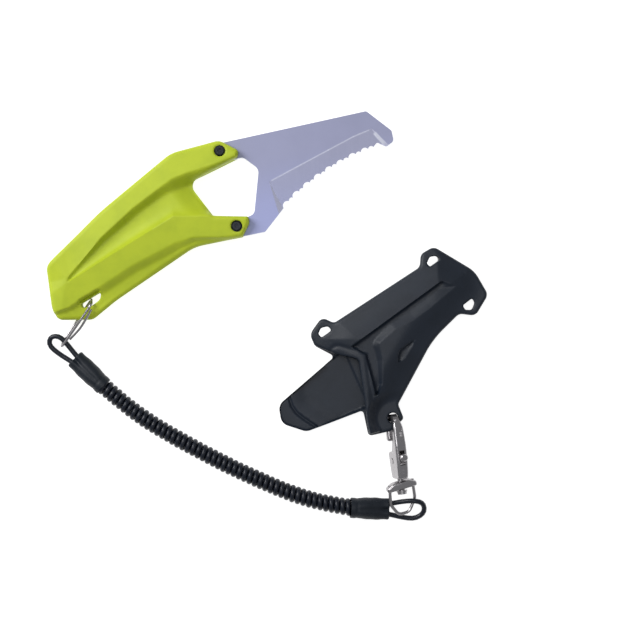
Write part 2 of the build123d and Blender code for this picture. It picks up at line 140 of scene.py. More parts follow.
def lay_floor():
    """A flat white sheet under everything, with a glow of its own so that it stays white."""
    bpy.ops.mesh.primitive_plane_add(size=FLOOR_SIDE, location=(0, 0, 0))
    floor = bpy.context.active_object
    floor.name = "floor"
    shade = Shade("white_sheet")
    shade.surface(
        Base_Color=FLOOR_COLOUR, Roughness=0.95, Emission_Color=(1, 1, 1, 1),
        Emission_Strength=FLOOR_GLOW,
    )
    floor.data.materials.append(shade.material)


# ---- Shader writing ----
class Value:
    """A number in a shader; arithmetic on it adds Math nodes."""

    def __init__(self, shade, socket):
        self.shade = shade
        self.socket = socket

    def _with(self, operation, *others):
        return self.shade.math(operation, self, *others)

    def __add__(self, other):
        return self._with("ADD", other)

    def __radd__(self, other):
        return self._with("ADD", other)

    def __sub__(self, other):
        return self._with("SUBTRACT", other)

    def __rsub__(self, other):
        return self.shade.math("SUBTRACT", other, self)

    def __mul__(self, other):
        return self._with("MULTIPLY", other)

    def __rmul__(self, other):
        return self._with("MULTIPLY", other)

    def size(self):
        return self._with("ABSOLUTE")

    def ramp(self, low, high):
        """0 below low, 1 above high, and smooth between."""
        return self.shade.node(
            "ShaderNodeMapRange",
            {"interpolation_type": "SMOOTHSTEP"},
            {"Value": self, "From Min": low, "From Max": high},
        )["Result"]


class Shade:
    """A material under construction."""

    def __init__(self, name):
        self.material = bpy.data.materials.new(name)
        self.material.use_nodes = True
        self.tree = self.material.node_tree
        self.shader = self.tree.nodes["Principled BSDF"]

    def node(self, kind, settings=None, sockets=None):
        """One node: its settings first, then its sockets; gives its outputs by name."""
        node = self.tree.nodes.new(kind)
        for key, value in (settings or {}).items():
            setattr(node, key, value)
        for key, value in (sockets or {}).items():
            self.plug(node.inputs[key], value)
        return {output.name: Value(self, output) for output in node.outputs if output.enabled}

    def plug(self, socket, value):
        if isinstance(value, Value):
            self.tree.links.new(value.socket, socket)
        else:
            socket.default_value = value

    def math(self, operation, *values):
        sockets = dict(enumerate(values))
        return self.node("ShaderNodeMath", {"operation": operation}, sockets)["Value"]

    def place(self):
        """The point on the object, in metres."""
        return self.node("ShaderNodeTexCoord")["Object"]

    def split(self, vector):
        parts = self.node("ShaderNodeSeparateXYZ", None, {"Vector": vector})
        return parts["X"], parts["Y"], parts["Z"]

    def noise(self, scale, detail, roughness, stretch=(1, 1, 1), turn=0.0):
        """Noise with so many features a metre, which stretch can make into streaks."""
        sockets = {
            "Vector": self.place(), "Rotation": (0, 0, math.radians(turn)), "Scale": stretch,
        }
        mapped = self.node("ShaderNodeMapping", None, sockets)["Vector"]
        sockets = {"Vector": mapped, "Scale": scale, "Detail": detail, "Roughness": roughness}
        return next(iter(self.node("ShaderNodeTexNoise", None, sockets).values()))

    def laid_place(self, home, turn):
        """The point in millimetres in a flat part's own frame."""
        back = turned([home], -turn)[0]
        sockets = {
            "Vector": self.place(), "Rotation": (0, 0, math.radians(-turn)),
            "Scale": (1 / MM, 1 / MM, 1 / MM), "Location": (-back[0], -back[1], 0),
        }
        return self.split(self.node("ShaderNodeMapping", None, sockets)["Vector"])

    def streak(self, x, y, line, half):
        """1 along a chain of straight runs, falling to 0 at a distance of half from them."""
        total = 0.0
        for (ax, ay), (bx, by) in zip(line[:-1], line[1:]):
            long = math.hypot(bx - ax, by - ay)
            way = ((bx - ax) / long, (by - ay) / long)
            far = (x - ax) * way[0] + (y - ay) * way[1]
            off = ((y - ay) * way[0] - (x - ax) * way[1]).size()
            on_run = far.ramp(-half, 0) * (1 - far.ramp(long - half, long + half))
            total = (1 - off.ramp(half * 0.3, half)) * on_run + total
        return total

    def mix(self, factor, first, second):
        """A colour between two colours."""
        node = self.tree.nodes.new("ShaderNodeMix")
        node.data_type = "RGBA"
        for index, value in ((0, factor), (6, first), (7, second)):
            self.plug(node.inputs[index], value)
        return Value(self, node.outputs[2])

    def bump(self, height, depth):
        """A bump whose height is depth metres at a value of one."""
        sockets = {"Height": height, "Distance": depth, "Strength": 1.0}
        return self.node("ShaderNodeBump", None, sockets)["Normal"]

    def surface(self, **sockets):
        for name, value in sockets.items():
            self.plug(self.shader.inputs[name.replace("_", " ")], value)
        return self.material


# ---- Outlines and heights ----
FAR = 50  # how many times its own length an end run is drawn out
RIMS = (0.12, 0.35, 0.7, 1.2)  # rows of points inside an edge, so that it can be rounded
BESIDE = (-0.8, -0.4, 0.0, 0.4, 0.8)  # rows of points beside a crease
CREASE_STEP = 0.4
CREASE_ROOM = 1.15
SHARP_ANGLE = 62
ROW_RATIO = 0.866  # row gap to column gap in a grid of equal-sided triangles


def rounded(corners, step=0.5):
    """An outline as points: straight sides, and at each corner (x, y, radius) an arc tangent
    to both sides, its points step millimetres apart."""
    count = len(corners)
    loops = []
    for i, (x, y, radius) in enumerate(corners):
        here = np.array([x, y])
        back = np.array(corners[i - 1][:2]) - here
        ahead = np.array(corners[(i + 1) % count][:2]) - here
        back /= np.linalg.norm(back)
        ahead /= np.linalg.norm(ahead)
        half = math.acos(np.clip(back @ ahead, -1, 1)) / 2
        middle = (back + ahead) / np.linalg.norm(back + ahead)
        centre = here + middle * radius / math.sin(half)
        reach = radius / math.tan(half)
        first = here + back * reach - centre
        last = here + ahead * reach - centre
        sweep = math.pi - 2 * half
        turns = max(2, int(math.ceil(radius * sweep / step)) + 1)
        share = np.linspace(0, 1, turns)[:, None]
        arc = np.sin((1 - share) * sweep) * first + np.sin(share * sweep) * last
        loops.append(centre + arc / math.sin(sweep))
    return evenly(np.vstack(loops), step)


def covered(line):
    """How far along a chain of straight runs each of its points is."""
    return np.concatenate([[0], np.cumsum(np.linalg.norm(np.diff(line, axis=0), axis=1))])


def along(line, places):
    """Points on a chain of straight runs, so far along it."""
    way = covered(line)
    return np.column_stack([np.interp(places, way, values) for values in line.T])


def evenly(loop, step):
    """The same closed outline with points step millimetres apart."""
    closed = np.vstack([loop, loop[:1]])
    whole = covered(closed)[-1]
    return along(closed, np.linspace(0, whole, int(whole / step), endpoint=False))


def distance(points, line, closed=False):
    """How far each point is from a chain of straight runs."""
    line = np.asarray(line, float)
    ends = np.roll(line, -1, axis=0) if closed else line[1:]
    starts = line if closed else line[:-1]
    best = np.full(len(points), np.inf)
    for a, b in zip(starts, ends):
        run = b - a
        share = np.clip((points - a) @ run / (run @ run), 0, 1)
        gap = points - a - share[:, None] * run
        best = np.minimum(best, np.einsum("ij,ij->i", gap, gap))
    return np.sqrt(best)


def inside(points, loop):
    """Whether each point is inside a closed outline, by counting the sides to its right."""
    x, y = points[:, 0], points[:, 1]
    crossings = np.zeros(len(points), int)
    for (ax, ay), (bx, by) in zip(loop, np.roll(loop, -1, axis=0)):
        spans = (ay > y) != (by > y)
        rise = by - ay if by != ay else 1e-9
        crossings += spans & (x < (bx - ax) * (y - ay) / rise + ax)
    return crossings % 2 == 1


def depth_in(points, loop):
    """Distance to an outline: positive inside it, negative outside."""
    return np.where(inside(points, loop), 1, -1) * distance(points, loop, True)


def above(points, line):
    """Distance to a chain of runs whose ends go on: positive on its left-hand side."""
    line = np.asarray(line, float)
    ends = (line[0] + (line[0] - line[1]) * FAR, line[-1] + (line[-1] - line[-2]) * FAR)
    longer = np.vstack([ends[0], line[1:-1], ends[1]])
    side = np.zeros(len(points))
    nearest = np.full(len(points), np.inf)
    for a, b in zip(longer[:-1], longer[1:]):
        run = b - a
        share = np.clip((points - a) @ run / (run @ run), 0, 1)
        off = points - a - share[:, None] * run
        far = np.linalg.norm(off, axis=1)
        cross = run[0] * (points[:, 1] - a[1]) - run[1] * (points[:, 0] - a[0])
        closer = far < nearest - 1e-9
        side = np.where(closer, np.sign(cross), side)
        nearest = np.minimum(nearest, far)
    return side * nearest


def smooth(value, low, high):
    """0 below low, 1 above high, with a smooth S between."""
    t = np.clip((value - low) / (high - low), 0, 1)
    return t * t * (3 - 2 * t)


def blend(low, high, share):
    return low + (high - low) * share


def rolled(depth, radius):
    """How far a surface falls at a rounded edge, at a depth inside that edge."""
    short = np.clip(radius - depth, 0, radius)
    return radius - np.sqrt(np.maximum(radius**2 - short**2, 0))


def inset(loop, amount):
    """An outline moved inwards, each point along the mean normal of its two sides."""
    ahead = np.roll(loop, -1, axis=0) - loop
    tangent = ahead + np.roll(ahead, 1, axis=0)
    tangent /= np.linalg.norm(tangent, axis=1)[:, None]
    normal = np.column_stack([-tangent[:, 1], tangent[:, 0]])
    area = np.sum(loop[:, 0] * np.roll(loop[:, 1], -1) - loop[:, 1] * np.roll(loop[:, 0], -1))
    return loop + normal * amount * np.sign(area)


def rows_beside(line):
    """Rows of points along a chain of runs and to its two sides."""
    line = np.asarray(line, float)
    whole = covered(line)[-1]
    dense = along(line, np.linspace(0, whole, int(whole / CREASE_STEP)))
    way = np.gradient(dense, axis=0)
    way /= np.linalg.norm(way, axis=1)[:, None]
    normal = np.column_stack([-way[:, 1], way[:, 0]])
    return np.vstack([dense + normal * offset for offset in BESIDE])


def plane_mesh(outline, holes, step, creases):
    """Triangles over an outline with holes: a grid of points, with rows of points close to
    each edge so that it can be rounded, and beside each crease so that it comes out clean."""
    rings = [outline] + list(holes)
    spots = []
    for loop in rings:
        inwards = 1 if loop is outline else -1
        spots += [inset(loop, rim * inwards) for rim in RIMS]
    for line in creases:
        beside = rows_beside(line)
        clear = np.min([distance(beside, loop, True) for loop in rings], axis=0)
        spots.append(beside[clear > RIMS[-1] + 0.25])
    low, high = outline.min(axis=0), outline.max(axis=0)
    rows = np.arange(low[1], high[1], step * ROW_RATIO)
    columns = np.arange(low[0], high[0], step)
    grid_x, grid_y = np.meshgrid(columns, rows)
    grid_x[1::2] += step / 2
    grid = np.column_stack([grid_x.ravel(), grid_y.ravel()])
    near = np.min([distance(grid, loop, True) for loop in rings], axis=0)
    free = near > RIMS[-1] + step * 0.5
    for line in creases:
        free &= distance(grid, line) > CREASE_ROOM
    spots.append(grid[free])
    spots = np.vstack(spots)
    keep = depth_in(spots, outline) > RIMS[0] * 0.6
    for hole in holes:
        keep &= depth_in(spots, hole) < -RIMS[0] * 0.6
    spots = spots[keep]
    points = np.vstack(rings + [spots])
    loops = []
    start = 0
    for loop in rings:
        loops.append([start + k for k in range(len(loop))])
        start += len(loop)
    edges = [(a, b) for loop in loops for a, b in zip(loop, loop[1:] + loop[:1])]
    flat = [Vector(p) for p in points]
    verts, _, faces, *_ = delaunay_2d_cdt(flat, edges, [], 0, 1e-5)
    verts = np.array([(v.x, v.y) for v in verts])
    faces = np.array([f for f in faces if len(f) == 3])
    centres = verts[faces].mean(axis=1)
    keep = inside(centres, outline)
    for hole in holes:
        keep &= ~inside(centres, hole)
    return verts, faces[keep]


def rim_edges(faces):
    """The edges that belong to one triangle only, in that triangle's direction."""
    edges = np.vstack([faces[:, [0, 1]], faces[:, [1, 2]], faces[:, [2, 0]]])
    key = np.sort(edges, axis=1)
    _, first, count = np.unique(key, axis=0, return_index=True, return_counts=True)
    return edges[first[count == 1]]


def make_piece(name, points, faces, material):
    """A mesh object at the origin from points in millimetres."""
    mesh = bpy.data.meshes.new(name)
    mesh.from_pydata((np.asarray(points) * MM).tolist(), [], np.asarray(faces).tolist())
    mesh.validate()
    mesh.materials.append(material)
    mesh.shade_smooth()
    mesh.set_sharp_from_angle(angle=math.radians(SHARP_ANGLE))
    piece = bpy.data.objects.new(name, mesh)
    bpy.context.collection.objects.link(piece)
    return piece


def relief(outline, holes, top, bottom, place, creases=(), flip=False, step=0.55):
    """Points and triangles of a closed solid over one outline, between the surfaces top(x, y)
    and bottom(x, y); place puts flat points and their heights into the frame."""
    flat, faces = plane_mesh(outline, holes, step, creases)
    upper = place(flat, top(flat))
    lower = place(flat, bottom(flat))
    corner = flat[faces]
    area = np.cross(corner[:, 1] - corner[:, 0], corner[:, 2] - corner[:, 0])
    faces = np.where(area[:, None] > 0, faces, faces[:, ::-1])
    rim = rim_edges(faces)
    count = len(flat)
    walls = np.vstack([
        np.column_stack([rim[:, 1], rim[:, 0], rim[:, 0] + count]),
        np.column_stack([rim[:, 1], rim[:, 0] + count, rim[:, 1] + count]),
    ])
    every = np.vstack([faces, faces[:, ::-1] + count, walls])
    return np.vstack([upper, lower]), every[:, ::-1] if flip else every


def level(height):
    """A flat surface of a relief, all at one height."""
    return lambda points: np.full(len(points), height)


def mirrored(surface):
    """The surface on the other side of the middle plane."""
    return lambda points: -surface(points)


def net(rows, columns, closed):
    """The quads of a grid of points: its columns always meet round, its rows if closed."""
    index = np.arange(rows * columns).reshape(rows, columns)
    starts = index if closed else index[:-1]
    ends = np.roll(index, -1, axis=0) if closed else index[1:]
    quads = [starts, np.roll(starts, -1, axis=1), np.roll(ends, -1, axis=1), ends]
    return np.stack(quads, axis=-1).reshape(-1, 4)


def laid_flat(home, turn, lift=0.0, sign=1):
    """A placing for parts that lie flat: their own frame turned and moved, and heights
    upwards or, with sign -1, downwards from lift."""
    return lambda flat, high: np.column_stack([turned(flat, turn) + home, lift + sign * high])


# ---- The handle ----
HANDLE_EDGE = (
    (-19.5, 18.4, 14), (0.8, 19.3, 5), (7.6, 13.5, 1.6), (6.4, 11.1, 0.9), (-15.4, 5.4, 3.6),
    (-8.2, -10.0, 1.8), (5.7, -13.3, 0.8), (5.6, -15.9, 3.0), (1.7, -20.7, 1.2),
    (-18.4, -20.5, 18), (-54.0, -34.8, 60), (-65.0, -40.4, 4), (-78.6, -37.6, 3),
    (-79.9, -33.0, 12), (-78.4, -15.3, 5), (-52.4, 1.4, 90),
)
SLOT_AT = (-63.3, -32.6)
SLOT_EDGE = (
    (5.0, 1.1, 0.7), (-4.7, 1.1, 0.9), (-5.0, -0.9, 0.9), (-1.2, -1.9, 4), (2.8, -1.5, 3),
)
SLOT_TURN = 19.0
SLOT_LIP = ((-68.9, -33.3), (-58.3, -29.6))
COUNTERBORE = 2.3
COUNTERBORE_DEEP = 0.3
HANDLE_ROUND = 1.7
SLOT_ROUND = 0.5
SEAM_BEVEL = 0.22
HANDLE_LEAST = 0.4
RING_SIDE = ((-15.4, 5.4), (-8.2, -10.0))
VALLEY = (
    (-70.6, -22.0), (-53.8, -8.9), (-39.2, -0.2), (-21.0, 8.2), (-14.5, 9.3), (7.2, 11.2),
)
CREST = ((-70.4, -23.6), (-23.7, -6.9), (-7.0, -10.4), (5.4, -13.3))
LOWER_RAIL = (
    (-79.9, -34.4), (-72.6, -33.6), (-65.1, -30.4), (-44.3, -22.4), (-25.5, -17.2),
    (-17.9, -16.7), (1.5, -20.9),
)
END_FACET = ((-74.4, -11.6), (-70.4, -22.0), (-76.6, -36.4))
RAIL_LEAN = 0.13
LOWER_SAG = 1.7
LOWER_SAG_WIDE = 10
RING_FALL = 2.8
FLANGE_TOP = 2.9
FLANGE_LEAN = 0.22
FLANGE_LEAST = 1.5
FACET_LEAN = 0.30
FACET_SOFT = 1.6
SLOT_LIP_TOP = 1.0


def circle(centre, radius, step=0.4):
    angles = np.arange(0, 2 * math.pi, step / radius)
    return np.asarray(centre) + radius * np.column_stack([np.cos(angles), np.sin(angles)])


def slot_outline():
    """The slot for the link: straight along the step, bowed on the other side."""
    return turned(rounded(SLOT_EDGE, 0.4), SLOT_TURN) + SLOT_AT


def handle_holes():
    return [slot_outline()] + [circle(place, COUNTERBORE) for place in SCREW_PLACES]


def handle_height(points):
    """Height of the handle over its middle plane.

    It is half the thickness, less a trough, the upper rail's lean, the lower rail's sag and a
    fall round the ring.  The trough starts with a steep wall under the valley's line and
    comes up at the crest; its depth and wall grow smoothly along the handle.  The lean is a
    slope times the distance over the valley, and the sag a slope times the distance below
    the crest.  Beyond the lower rail a smooth step goes down to a flange that slopes with
    the distance from it.  Past the end facet's line the surface falls at a slope that starts
    softly.  A smooth step lowers the lip on one side of the slot, and another the rim of
    each screw's recess."""
    x = points[:, 0]
    from_valley = above(points, VALLEY)
    below_rail = np.maximum(-from_valley, 0)
    over_crest = above(points, CREST)
    to_crest = np.maximum(over_crest, 0)
    across = below_rail / (below_rail + to_crest + 1e-6)
    deepest = 1.3 * smooth(x, -71.5, -69.0) + 2.0 * smooth(x, -70, -46)
    wall = 1.0 + 2.2 * smooth(x, -68, -34) + 2.2 * smooth(x, -30, -16)
    trough = deepest * (1 - 0.2 * across - 0.8 * across**6)
    off_rail = smooth(below_rail, -0.2, wall)
    trough = trough * off_rail * (to_crest > 0)
    rail = RAIL_LEAN * np.maximum(from_valley, 0) * smooth(x, -78, -60)
    sag = LOWER_SAG * np.clip(-over_crest / LOWER_SAG_WIDE, 0, 1)
    near_ring = 1 - smooth(distance(points, RING_SIDE), -1.0, 8.5)
    ring = RING_FALL * near_ring * smooth(over_crest, 0, 3)
    body = HANDLE_THICK / 2 - trough - rail - sag - ring * off_rail
    step_wide = 1.2 + 2.4 * smooth(x, -76, -56) * (1 - smooth(x, -30, -10))
    step = smooth(above(points, LOWER_RAIL), -step_wide, 0.3)
    beyond = np.maximum(-above(points, LOWER_RAIL), 0)
    flange = np.maximum(FLANGE_TOP - FLANGE_LEAN * beyond, FLANGE_LEAST)
    height = blend(flange, body, step)
    past = np.maximum(-above(points, END_FACET), 0)
    fall = np.sqrt(past**2 + FACET_SOFT) - math.sqrt(FACET_SOFT)
    height = height - FACET_LEAN * fall * step
    from_slot = depth_in(points, slot_outline())
    beside = above(points, SLOT_LIP)
    lip = (1 - smooth(-from_slot, 0.2, 1.7)) * smooth(beside, -0.2, 0.6)
    height = blend(height, np.minimum(height, SLOT_LIP_TOP), lip)
    for place in SCREW_PLACES:
        from_screw = np.linalg.norm(points - place, axis=1)
        recess = 1 - smooth(from_screw, COUNTERBORE, COUNTERBORE + 0.5)
        height = height - COUNTERBORE_DEEP * recess
    return height


def handle_top(points):
    """The handle's height, rolled over round at its outline and at the slot."""
    edge_fall = rolled(distance(points, rounded(HANDLE_EDGE), True), HANDLE_ROUND)
    slot_fall = rolled(distance(points, slot_outline(), True), SLOT_ROUND)
    return np.maximum(handle_height(points) - edge_fall - slot_fall, HANDLE_LEAST)


def handle_parting(points):
    """The halves meet flat, with a fine open bevel along the seam."""
    return rolled(distance(points, rounded(HANDLE_EDGE), True), SEAM_BEVEL)


def make_handle(material):
    home = knife_home()
    creases = (VALLEY, CREST, LOWER_RAIL, END_FACET)
    for name, sign in (("handle_front", 1), ("handle_back", -1)):
        place = laid_flat(home, KNIFE_TURN, HANDLE_THICK / 2, sign)
        points, faces = relief(
            rounded(HANDLE_EDGE, 0.45), handle_holes(), handle_top, handle_parting, place,
            creases, sign < 0,
        )
        piece = make_piece(name + "_moulding", points, faces, material)
        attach(piece, "knife")
        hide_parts(name)


# ---- The sheath ----
MOUTH_EAR = ((-1.4, 0.0, 2.2), (-4.3, 4.7, 2.7), (-12.2, 1.6, 4), (-13.1, -3.6, 3))
TONGUE_END = ((-38.6, -15.7, 4.4), (-41.7, -22.7, 4.4), (-35.0, -31.0, 5))
FAR_SIDE = (
    (-14.8, -46.2, 1.5), (-5.6, -49.6, 4), (1.2, -48.0, 1.6), (2.4, -41.9, 1.6),
    (28.5, -27.6, 40), (43.2, -24.6, 3), (48.4, -29.0, 3.2), (57.4, -24.6, 3.4),
    (58.0, -13.6, 12), (49.5, 3.9, 3.4), (43.4, 4.2, 3), (40.2, 0.0, 3),
)
EARS_EDGE = (
    *MOUTH_EAR, (-7.6, -11.2, 1.0), (-1.2, -17.8, 2.6), (-10.6, -38.0, 1.2), *FAR_SIDE,
)
BACK_EDGE = (*MOUTH_EAR, (-8.6, -11.6, 1.2), *TONGUE_END, (-10.9, -36.2, 1.2), *FAR_SIDE)
SHELL_EDGE = (
    (-0.2, -0.2, 2.0), (-6.4, -4.6, 5), (-7.6, -11.2, 1.0), (-1.0, -17.6, 2.6),
    (-10.6, -37.4, 1.2), (-14.2, -45.6, 1.5), (-9.0, -47.6, 1.5), (-8.0, -40.4, 4),
    (2.0, -40.2, 1.5), (28.5, -27.9, 40), (42.6, -24.4, 4), (51.6, -17.6, 3),
    (54.2, -12.0, 4), (48.2, -0.4, 3),
)
TONGUE_EDGE = ((-4.0, -11.2, 1), *TONGUE_END, (-8.0, -36.0, 1))
POCKET_EDGE = (
    (-14.0, -3.4, 1), (46.6, -3.4, 2), (51.0, -14.0, 3), (44.0, -21.6, 3), (27.6, -24.4, 20),
    (1.0, -37.4, 2), (-15.0, -35.0, 1),
)
SHELL_RIM = (
    (-7.6, -11.2), (-6.4, -4.6), (-0.2, -0.2), (48.2, -0.4), (54.2, -12.0), (51.6, -17.6),
    (42.6, -24.4), (28.5, -27.9), (2.0, -40.2), (0.6, -46.5),
)
MOUTH = ((-7.0, -11.4), (-1.4, -17.8), (-4.7, -25.2), (-10.6, -38.0), (-14.0, -45.8))
HOLLOW_SIDE = ((2.4, -41.9), (28.5, -27.6), (43.2, -24.6))
PANEL_STEP = (
    (44.1, -9.3), (-1.3, -11.6), (2.0, -17.6), (0.0, -23.6), (-1.6, -28.3), (-3.2, -32.6),
)
PANEL_RISE = (
    (44.1, -9.3), (48.3, -14.4), (42.2, -15.0), (34.8, -15.9), (26.6, -16.3), (18.0, -15.6),
    (9.6, -16.8), (6.9, -23.3), (1.5, -31.3), (-2.0, -34.0),
)
DENT_STEP = ((22.8, -23.0), (14.6, -23.3), (12.6, -25.2), (11.3, -27.8))
DENT_RISE = ((22.8, -23.0), (20.2, -25.0), (14.9, -27.6), (11.3, -27.8))
TONGUE_GROOVE = (
    (-33.0, -14.6), (-34.3, -19.2), (-34.2, -22.5), (-32.9, -26.2), (-30.4, -32.0),
)
EYELETS = (
    ((-9.1, -0.2, 0.5), (-9.0, -2.2, 0.7), (-3.9, -2.0, 0.7), (-4.2, 0.2, 1.2),
     (-7.0, 1.2, 1.4)),
    ((43.3, -0.3, 0.5), (43.6, -2.2, 0.7), (48.6, -2.0, 0.7), (48.2, 0.2, 1.2),
     (45.8, 1.3, 1.4)),
    ((46.2, -22.6, 0.7), (51.2, -22.2, 0.7), (50.9, -24.4, 1.2), (48.4, -26.2, 1.4),
     (46.2, -24.6, 0.5)),
)
HOOK_HOLE_R = 2.1
LUG_R = 6.0
EAR_LOW = 3.9
EAR_HIGH = 6.1
SEAM = 5.0
POCKET_LOW = 3.4
POCKET_HIGH = 7.9
TONGUE_LOW = 0.4
LEAST_WALL = 0.4
CROWN = 4.1
CROWN_DROP = 1.5
CROWN_RISE = (-6.5, 12.5)
PANEL_DEEP = 1.9
DENT_DEEP = 1.3
MOUTH_GROOVE_DEEP = 0.35
MOUTH_GROOVE_AT = 3.3
MOUTH_GROOVE_HALF = 0.8
TONGUE_GROOVE_DEEP = 0.8
TONGUE_END_DROP = 0.9
FRONT_ROUND = 1.1
EYELET_ROUND = 0.6
TONGUE_ROUND = 0.9
BACK_ROUND = 0.7


def sheath_holes():
    return [rounded(edge, 0.4) for edge in EYELETS] + [circle(HOOK_HOLE, HOOK_HOLE_R)]


def wedge(points, step_side, rise_side, deep):
    """Depth of a hollow that drops sharply along one side and ramps up to the other."""
    loop = np.vstack([step_side, rise_side[::-1]])
    from_step = distance(points, step_side)
    from_rise = distance(points, rise_side)
    across = from_step / (from_step + from_rise + 1e-6)
    start = blend(0.62, 0.35, smooth(points[:, 0], 6, 18))
    ramp = 1 - np.clip((across - start) / (1 - start), 0, 1)
    return deep * ramp * smooth(from_step, 0, 1.0) * inside(points, loop)


def lug_share(points, softer):
    """1 on the thin lug round the hook's hole, 0 away from it."""
    reach = np.linalg.norm(points - HOOK_HOLE, axis=1)
    return 1 - smooth(reach, LUG_R, LUG_R + softer)


def sheath_front_top(points):
    """The ears' level plus a full front, rolled over at the outline and the holes.

    The front is a crown, lower along the hollow side, times a smooth S of the depth inside
    the shell's rim.  Taken off it are two wedges, a bent panel and a small dent, and a
    shallow groove beside the mouth, a bell curve of the distance from it.  The front fades
    out on the lug."""
    sign = np.where(inside(points, rounded(SHELL_EDGE)), 1, -1)
    depth = sign * distance(points, SHELL_RIM)
    crown = CROWN - CROWN_DROP * (1 - smooth(distance(points, HOLLOW_SIDE), 0, 14))
    front = crown * smooth(depth, *CROWN_RISE)
    hollows = wedge(points, np.array(PANEL_STEP), np.array(PANEL_RISE), PANEL_DEEP)
    hollows = hollows + wedge(points, np.array(DENT_STEP), np.array(DENT_RISE), DENT_DEEP)
    off_groove = (distance(points, MOUTH) - MOUTH_GROOVE_AT) / MOUTH_GROOVE_HALF
    groove = MOUTH_GROOVE_DEEP * np.exp(-(off_groove**2)) * smooth(points[:, 1], -45, -38)
    front = front - hollows - groove
    height = EAR_HIGH + front * (1 - lug_share(points, 5.5))
    edges = distance(points, rounded(EARS_EDGE), True)
    holes = np.min([distance(points, loop, True) for loop in sheath_holes()], axis=0)
    return height - rolled(edges, FRONT_ROUND) - rolled(holes, EYELET_ROUND)


def sheath_front_under(points):
    """The seam's level with the pocket's ceiling in it, always a wall below the top."""
    pocket = smooth(depth_in(points, rounded(POCKET_EDGE)), -0.4, 0.2)
    pocket = pocket * (1 - lug_share(points, 1.0))
    ceiling = blend(SEAM, POCKET_HIGH, pocket)
    return np.minimum(ceiling, sheath_front_top(points) - LEAST_WALL)


def sheath_back_top(points):
    """The seam's level at the ears and rim, the pocket's floor, and the tongue with its
    curved groove and its lower, sloping end."""
    tongue_depth = depth_in(points, rounded(TONGUE_EDGE))
    pocket_depth = depth_in(points, rounded(POCKET_EDGE))
    low = smooth(np.maximum(tongue_depth, pocket_depth), -0.3, 0.3)
    height = blend(SEAM, POCKET_LOW, low)
    groove = distance(points, TONGUE_GROOVE)
    end = smooth(-above(points, TONGUE_GROOVE[::-1]), 0, 8)
    on_tongue = smooth(tongue_depth, -0.3, 0.3)
    groove = TONGUE_GROOVE_DEEP * (1 - smooth(groove, 0.2, 0.75))
    height = height - on_tongue * (groove + TONGUE_END_DROP * end)
    edges = distance(points, rounded(BACK_EDGE), True)
    return height - rolled(edges, TONGUE_ROUND) * on_tongue


def sheath_back_under(points):
    """Zero under the shell, higher under the tongue, the ears and the lug, with its edges
    rolled up round; always a wall below the top."""
    shell = smooth(depth_in(points, rounded(SHELL_EDGE)), -0.5, 0.3)
    low = blend(EAR_LOW, 0.0, shell * (1 - lug_share(points, 1.0)))
    tongue = smooth(depth_in(points, rounded(TONGUE_EDGE)), -0.3, 0.3) * (1 - shell)
    low = blend(low, TONGUE_LOW, tongue)
    edges = distance(points, rounded(BACK_EDGE), True)
    lowest = low + rolled(edges, BACK_ROUND)
    return np.minimum(lowest, sheath_back_top(points) - LEAST_WALL)


def make_sheath(material):
    place = laid_flat(sheath_home(), SHEATH_TURN)
    front_lines = (PANEL_STEP, PANEL_RISE, DENT_STEP, DENT_RISE)
    parts = (
        ("sheath_front", EARS_EDGE, sheath_front_top, sheath_front_under, front_lines),
        ("sheath_back", BACK_EDGE, sheath_back_top, sheath_back_under, (TONGUE_GROOVE,)),
    )
    for name, edge, top, under, creases in parts:
        points, faces = relief(
            rounded(edge, 0.45), sheath_holes(), top, under, place, creases,
        )
        piece = make_piece(name + "_moulding", points, faces, material)
        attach(piece, "sheath")
        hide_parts(name)


# ---- The lanyard ----
CORD = 2.1
COIL_OUTSIDE = 7.0
TURN_PITCH = 2.34
POINTS_A_TURN = 14
COIL_RUNS = (
    (-87.3, -30.5, 3.9), (-78.8, -38.0, 3.5), (-68.4, -45.6, 3.5), (-57.6, -52.0, 3.5),
    (-46.4, -58.1, 3.5), (-35.0, -64.0, 3.5), (-22.8, -69.6, 3.5), (-10.4, -74.9, 3.5),
    (2.6, -78.9, 3.5), (15.2, -80.8, 3.9),
)
LOOP_A_RUNS = (
    (-93.2, -23.1, 3.6), (-97.2, -19.5, 3.5), (-101.1, -14.6, 3.3), (-104.3, -10.9, 3.2),
    (-108.3, -10.9, 2.7), (-109.3, -14.6, 2.0), (-104.8, -18.4, 1.6), (-99.1, -21.6, 2.8),
    (-94.9, -24.9, 3.6),
)
LOOP_B_RUNS = (
    (24.2, -79.9, 3.2), (29.4, -79.4, 2.8), (34.6, -78.3, 3.4), (39.9, -77.6, 5.4),
    (43.9, -78.8, 3.8), (44.4, -83.0, 2.1), (40.4, -85.7, 1.3), (34.6, -84.8, 1.7),
    (29.4, -83.4, 2.6), (24.2, -82.7, 3.2),
)
SLEEVES = (  # name, mouth, end of the coil, width and height at the mouth, grip radius
    ("knife_end", (-98.0, -20.3, 3.6), 0, 7.8, 5.6, 3.8),
    ("hook_end", (29.4, -81.4, 2.7), -1, 8.6, 4.8, 4.1),
)
SLEEVE_REACH = 1.08
SLEEVE_ROWS = 48
SLEEVE_ROWS_INSIDE = 12
SLEEVE_POINTS_ROUND = 96
SLEEVE_WALL = 0.5
SLEEVE_BULGE = 0.3
SLEEVE_SHOULDER = 0.14
CLEFT_DEEP = 0.42
CLEFT_DEEPER_AT_MOUTH = 0.9
CLEFT_HALF = 0.22


def laid(points):
    """Route points in the frame, in metres."""
    return (np.asarray(points, float) + (*LAYOUT_SHIFT, 0)) * MM


